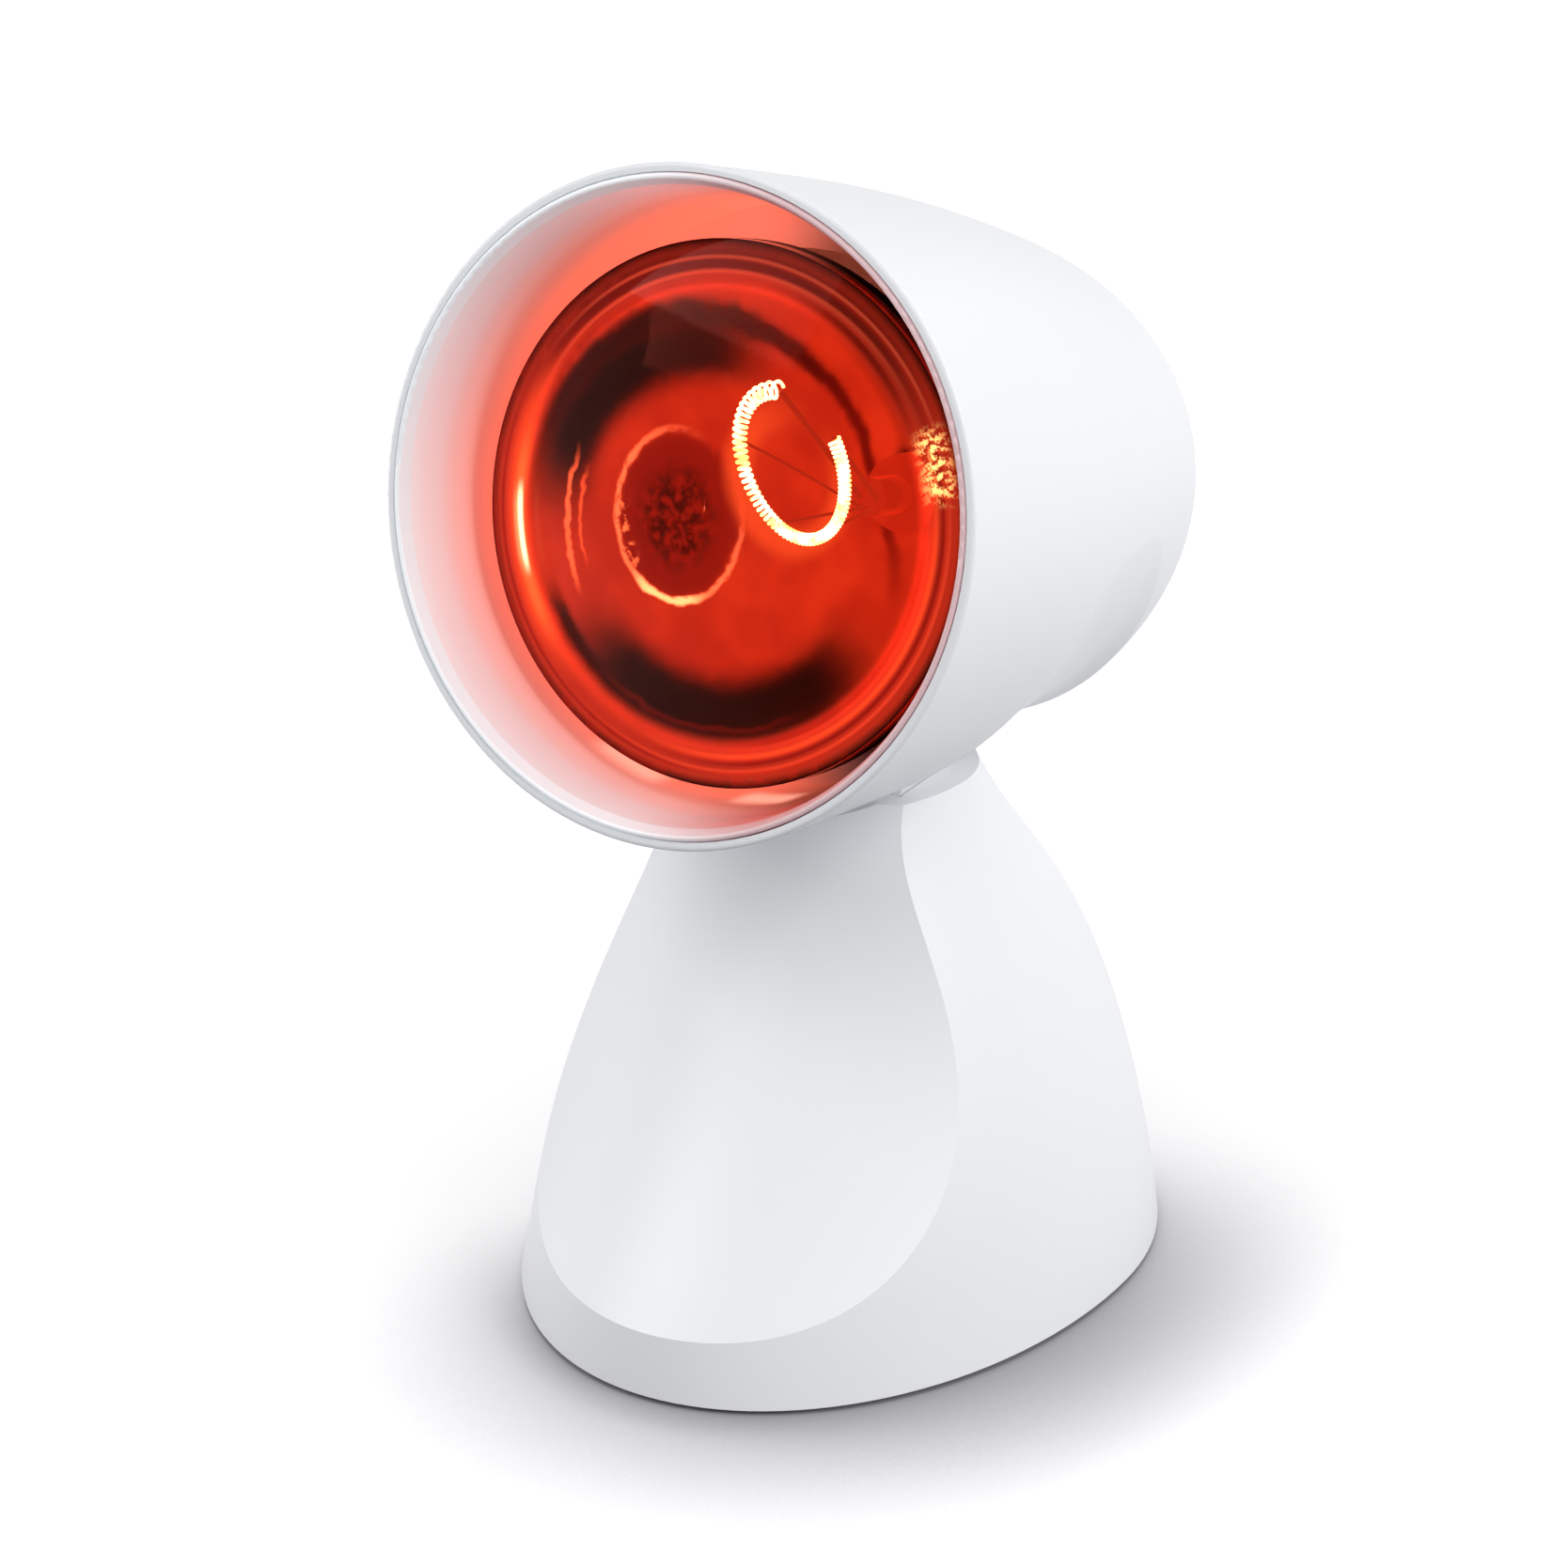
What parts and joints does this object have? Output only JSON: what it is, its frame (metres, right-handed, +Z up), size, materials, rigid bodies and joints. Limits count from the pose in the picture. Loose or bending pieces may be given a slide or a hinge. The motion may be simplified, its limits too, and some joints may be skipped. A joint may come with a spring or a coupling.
{
  "type": "infrared heat lamp",
  "caption": "Table heat lamp: egg-shaped tilting shade around a red reflector bulb, on a domed stand with a leaning teardrop front and a rear rocker switch.",
  "frame": {"origin": "centre of the whole lamp seen from above, at the table surface that its feet stand on", "axes": "+Z up, the shade's mouth faces -Y, the tilt hinge runs along X"},
  "size_m": [0.1506, 0.2155, 0.2839],
  "materials": {
    "white_shell": "gloss",
    "white_liner": "gloss",
    "zinc_steel": "satin",
    "spring_steel": "satin",
    "ruby_glass": "gloss",
    "bowl_glass": "mirror",
    "cap_metal": "satin",
    "black_glass": "gloss",
    "solder": "satin",
    "hot_coil": "satin",
    "support_wire": "satin",
    "stem_glass": "gloss",
    "porcelain": "gloss",
    "contact_brass": "satin",
    "grey_rubber": "matte",
    "grey_plastic": "matte",
    "grey_iron": "matte",
    "fibre": "matte",
    "switch_plastic": "satin",
    "rocker_plastic": "satin",
    "block_plastic": "matte",
    "lead_brown": "satin",
    "lead_blue": "satin"
  },
  "bodies": {
    "stand": {"stand_shell": "white_shell", "base_plate": "grey_plastic", "feet": "grey_rubber", "case_screws": "zinc_steel", "ballast": "grey_iron", "ballast_screws": "zinc_steel", "yoke": "zinc_steel", "yoke_screws": "zinc_steel", "axle": "zinc_steel", "axle_nut": "zinc_steel", "tilt_washers": "fibre", "detent_barrel": "contact_brass", "detent_ball": "zinc_steel", "detent_spring": "spring_steel", "switch_case": "switch_plastic", "switch_blades": "contact_brass", "cable_inlet": "grey_rubber", "terminal_block": "block_plastic", "block_screws": "contact_brass", "supply_live": "lead_brown", "supply_neutral": "lead_blue", "switched_live": "lead_brown", "riser_live": "lead_brown", "riser_neutral": "lead_blue"},
    "head": {"shade_shell": "white_shell", "shade_liner": "white_liner", "seat_screws": "zinc_steel", "bulb_lens": "ruby_glass", "bulb_bowl": "bowl_glass", "bulb_cap": "cap_metal", "bulb_tip_ring": "black_glass", "bulb_tip": "solder", "bulb_coil": "hot_coil", "bulb_posts": "support_wire", "bulb_stem": "stem_glass", "holder_bridge": "zinc_steel", "bridge_screws": "zinc_steel", "holder_body": "porcelain", "holder_screws": "zinc_steel", "holder_sleeve": "contact_brass", "holder_contact": "contact_brass", "holder_terminals": "contact_brass", "lamp_live": "lead_brown", "lamp_neutral": "lead_blue", "neck_drum": "white_shell", "cable_sleeve": "grey_rubber"},
    "rocker": {"switch_rocker": "rocker_plastic"}
  },
  "joints": [
    {"name": "head_tilt", "type": "hinge", "parent": "stand", "child": "head", "pos_m": [0, -0.0202, 0.1145], "axis": [-1, 0, 0], "range_deg": [-10, 10]},
    {"name": "switch_rock", "type": "hinge", "parent": "stand", "child": "rocker", "pos_m": [0, 0.0757, 0.0285], "axis": [0, 0, 1], "range_deg": [-14, 0]}
  ]
}
